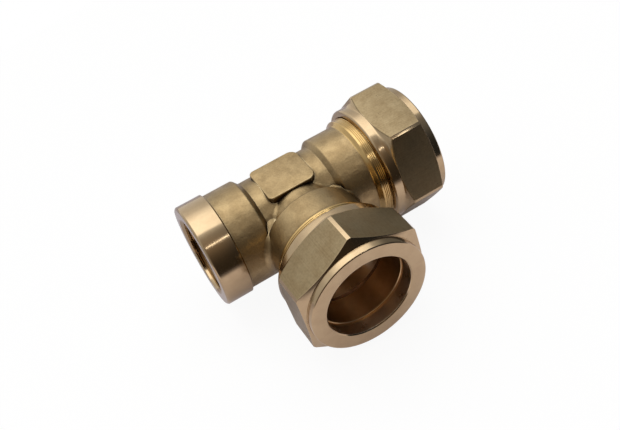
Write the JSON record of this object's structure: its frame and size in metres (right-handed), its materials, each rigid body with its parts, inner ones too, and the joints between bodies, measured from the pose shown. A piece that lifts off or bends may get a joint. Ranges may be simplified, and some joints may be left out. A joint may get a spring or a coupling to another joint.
{
  "type": "compression tee fitting",
  "caption": "Brass tee that joins two 22 mm pipes by compression nuts and olives to a half-inch female threaded end.",
  "frame": {"origin": "where the axes of the three ports cross, midway between the two spanner pads", "axes": "+X along the run, out of the run's compression end (the threaded end faces -X); -Y out of the branch; +Z out of the upper spanner pad"},
  "size_m": [0.0631, 0.0547, 0.0358],
  "materials": {
    "forged_brass": "matt forged, with bright turned ends",
    "turned_brass": "bright turned",
    "olive_brass": "bright turned"
  },
  "bodies": {
    "tee": {"tee_body": "forged_brass"},
    "run_olive_ring": {"run_olive": "olive_brass"},
    "run_nut_hex": {"run_nut": "turned_brass"},
    "branch_olive_ring": {"branch_olive": "olive_brass"},
    "branch_nut_hex": {"branch_nut": "turned_brass"}
  },
  "joints": [
    {"name": "run_olive_slide", "type": "slide", "parent": "tee", "child": "run_olive_ring", "axis": [1, 0, 0], "range_m": [0, 0.0045]},
    {"name": "run_nut_turn", "type": "hinge", "parent": "run_olive_ring", "child": "run_nut_hex", "pos_m": [0.0292, 0, 0], "axis": [1, 0, 0], "range_deg": [0, 1080]},
    {"name": "branch_olive_slide", "type": "slide", "parent": "tee", "child": "branch_olive_ring", "axis": [0, -1, 0], "range_m": [0, 0.0045]},
    {"name": "branch_nut_turn", "type": "hinge", "parent": "branch_olive_ring", "child": "branch_nut_hex", "pos_m": [0, -0.0292, 0], "axis": [0, -1, 0], "range_deg": [0, 1080]}
  ],
  "couplings": [
    {"joint": "run_olive_slide", "follows": "run_nut_turn", "m_per_rad": 0.00023873},
    {"joint": "branch_olive_slide", "follows": "branch_nut_turn", "m_per_rad": 0.00023873}
  ]
}
